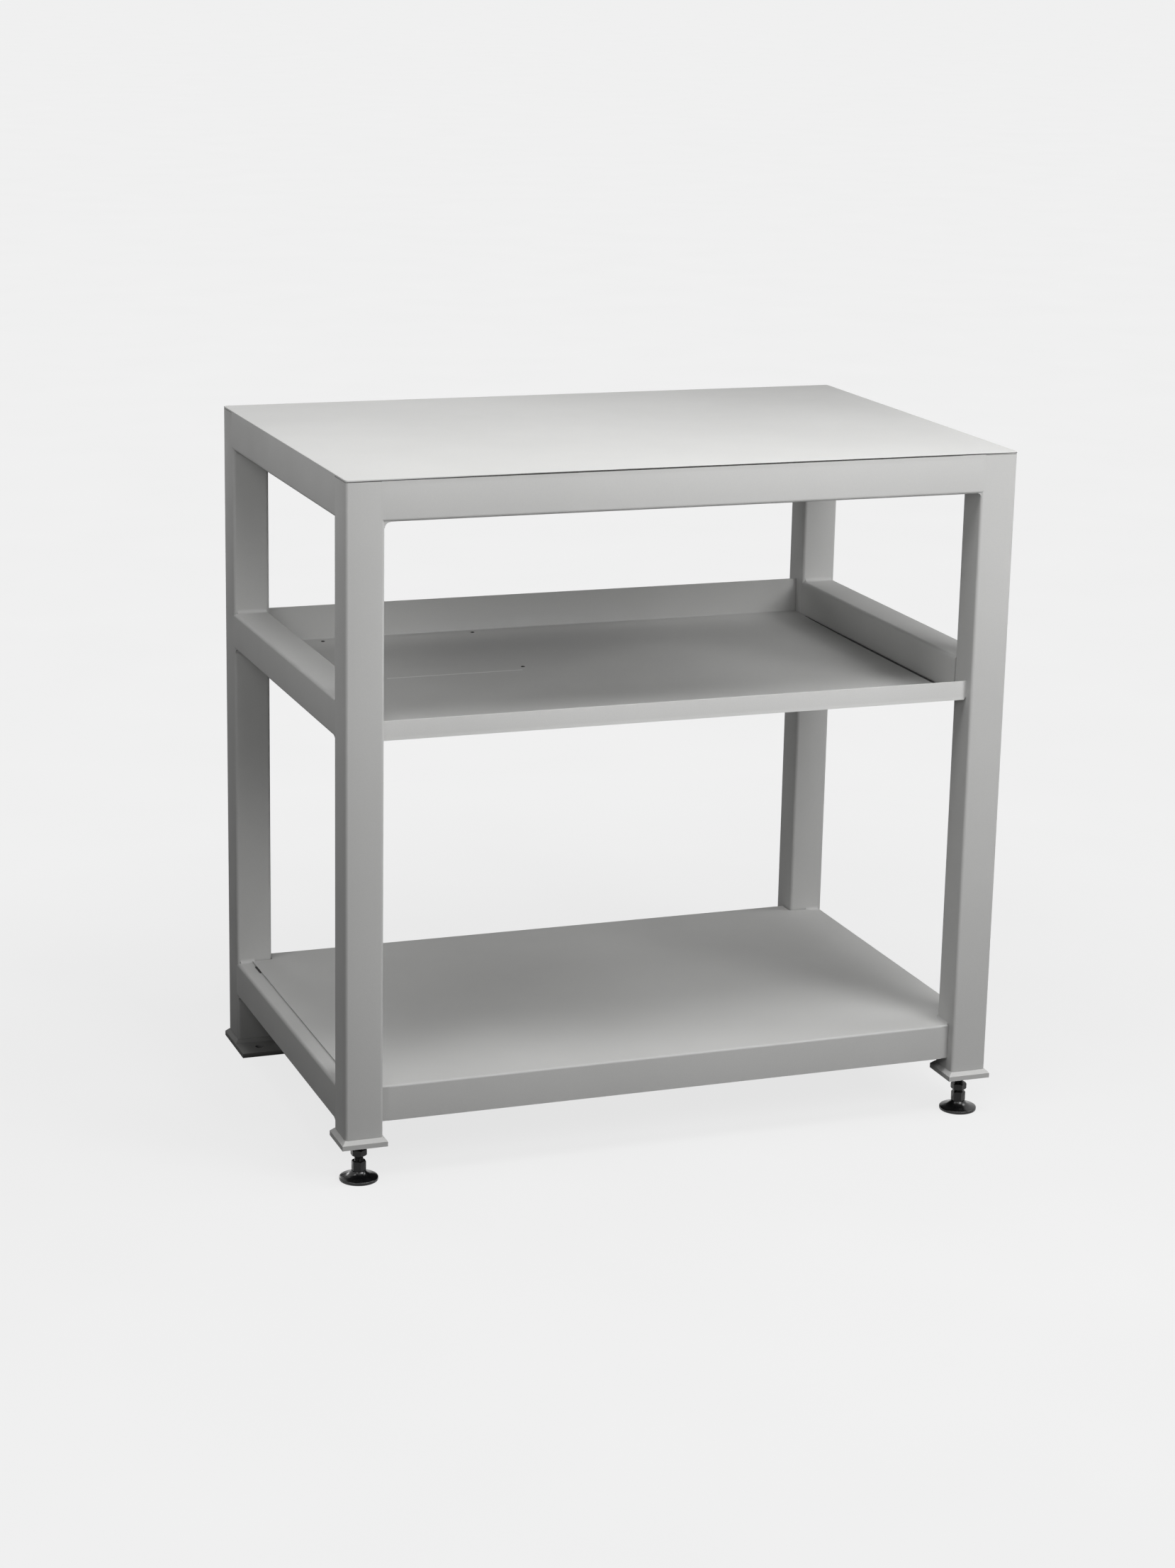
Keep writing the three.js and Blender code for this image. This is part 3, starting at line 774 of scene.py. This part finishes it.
def make_stage():
    """The floor and the lamps."""
    bm = bmesh.new()
    bmesh.ops.create_grid(bm, x_segments=1, y_segments=1, size=FLOOR_HALF_SIZE)
    mesh = bpy.data.meshes.new("floor")
    bm.to_mesh(mesh)
    bm.free()
    mesh.materials.append(floor_material())
    floor = bpy.data.objects.new("floor", mesh)
    floor.location.z = -FLOOR_DROP
    bpy.context.scene.collection.objects.link(floor)
    for name, place, size, power in LAMPS:
        add_area_light(name, place, size, power)


def make_world():
    """A pale background, and a little light from all round."""
    world = bpy.data.worlds.new("studio")
    bpy.context.scene.world = world
    world.use_nodes = True
    tree = world.node_tree
    tree.nodes.clear()
    seen = add(tree, "ShaderNodeBackground", {"Color": PAPER, "Strength": 1.0}).outputs[0]
    ambient = add(tree, "ShaderNodeBackground", {"Color": WHITE, "Strength": AMBIENT}).outputs[0]
    mixed = add(tree, "ShaderNodeMixShader", {0: background_ray(tree), 1: ambient, 2: seen})
    add(tree, "ShaderNodeOutputWorld", {"Surface": mixed.outputs[0]})


def make_camera():
    """The camera of the photograph."""
    up = CAMERA_RIGHT.cross(CAMERA_FORWARD)
    data = bpy.data.cameras.new("camera")
    data.sensor_width = CAMERA_SENSOR
    data.lens = CAMERA_LENS
    data.clip_end = CAMERA_REACH
    camera = bpy.data.objects.new("camera", data)
    turn = Matrix((CAMERA_RIGHT, up, -CAMERA_FORWARD)).transposed().to_4x4()
    camera.matrix_world = Matrix.Translation(CAMERA_PLACE) @ turn
    bpy.context.scene.collection.objects.link(camera)
    bpy.context.scene.camera = camera


# Materials

lip_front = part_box("tray")[0].y
# Painted highlight: the tray's front lip is lighter
lip_painted_highlight = ("Y", lip_front + LIP_HIGHLIGHT_REACH, lip_front + 2 * LIP_HIGHLIGHT_REACH, LIP_PAINTED_HIGHLIGHT)
# Painted shade: the rear legs darken towards the floor
leg_painted_shade = ("Z", 0.0, LEG_FOOT_SHADE_REACH, LEG_FOOT_PAINTED_SHADE)
# Painted shade: the floor plates darken towards their lower edges
plate_painted_shade = ("Z", 0.0, PLATE_EDGE_SHADE_REACH, PLATE_EDGE_PAINTED_SHADE)

coat = coat_material("powder_coat_grey", COAT, COAT_ROUGHNESS, COAT_PEEL)
tray_coat_lip_highlight = coat_material("powder_coat_tray_lip_highlight", COAT, COAT_ROUGHNESS, COAT_PEEL, lip_painted_highlight)
rear_leg_coat_foot_shaded = coat_material("powder_coat_rear_leg_foot_shaded", COAT, COAT_ROUGHNESS, COAT_PEEL, leg_painted_shade)
plate_coat_edge_shaded = coat_material("powder_coat_floor_plate_edge_shaded", PLATE_COAT_DARK, COAT_ROUGHNESS, COAT_PEEL, plate_painted_shade)
weld_coat = coat_material("powder_coat_weld", COAT, WELD_ROUGHNESS, WELD_PEEL)
worn_coat = coat_material("powder_coat_worn", COAT_WORN, WELD_ROUGHNESS, WELD_PEEL)
# Black for the painted shadow strips and the tray's dark plugs
shadow_and_plug_black = black_material("black_shadow_strips_and_plugs", SHADOW_AND_PLUG_BLACK, roughness=0.6, metallic=0.0, grain=0.05)
pad_black = black_material("black_pad", PAD_BLACK, roughness=0.22, metallic=0.0, grain=0.05)
steel_black = black_material("black_steel_oiled", STEEL_BLACK, roughness=0.32, metallic=0.5, grain=0.08)

NODE_FINISHES = (
    ("jam_nut", steel_black),
    ("levelling_bush", steel_black),
    ("foot_stud", steel_black),
    ("foot_pad", pad_black),
    ("floor_plate", plate_coat_edge_shaded),
    ("leg_rear", rear_leg_coat_foot_shaded),
    ("tray", tray_coat_lip_highlight),
    ("", coat),
)

# The CAD nodes: a finish by the start of the name, and smooth shading over shallow facets

soft_group = make_soft_group()
for name, node in nodes.items():
    node.data.materials[0] = next(finish for start, finish in NODE_FINISHES if name.startswith(start))
    modifier = node.modifiers.new("soften", "NODES")
    modifier.node_group = soft_group

# The pieces made here

FRAME_PIECES = (
    ("weld_fillets", weld_coat, "powder_coat",
     (cross_rail_fillets, side_rail_fillets, sheet_fillets, flange_end_welds)),
    ("seam_dressings", weld_coat, "powder_coat", (seam_dressings,)),
    ("worktop_seam_fill", weld_coat, "powder_coat", (worktop_fill,)),
    ("tray_lip_edge", tray_coat_lip_highlight, "powder_coat", (lip_edge,)),
    ("tray_scribe_line", worn_coat, "powder_coat", (scribe_line,)),
    # Painted shade in the open end of the deck seam
    ("deck_seam_gap_shade", shadow_and_plug_black, "pad_plastic", (deck_gap_shade,)),
    # Painted shadow line under the worktop's edge
    ("worktop_painted_shadow", shadow_and_plug_black, "pad_plastic", (worktop_painted_shadow,)),
    # Painted shadows in the gaps beside the tray floor
    ("tray_side_painted_shadows", shadow_and_plug_black, "pad_plastic", (tray_gap_shadows,)),
    ("tray_hole_plugs", shadow_and_plug_black, "pad_plastic", (tray_plugs,)),
)
for name, finish, slot, makers in FRAME_PIECES:
    shape = bmesh.new()
    for maker in makers:
        maker(shape)
    finish_piece(name, shape, finish)
for side in SIDES:
    make_pad(side, pad_black)
    make_stud(side, steel_black)

make_stage()
make_world()
make_camera()
bpy.context.scene.view_settings.view_transform = "Standard"
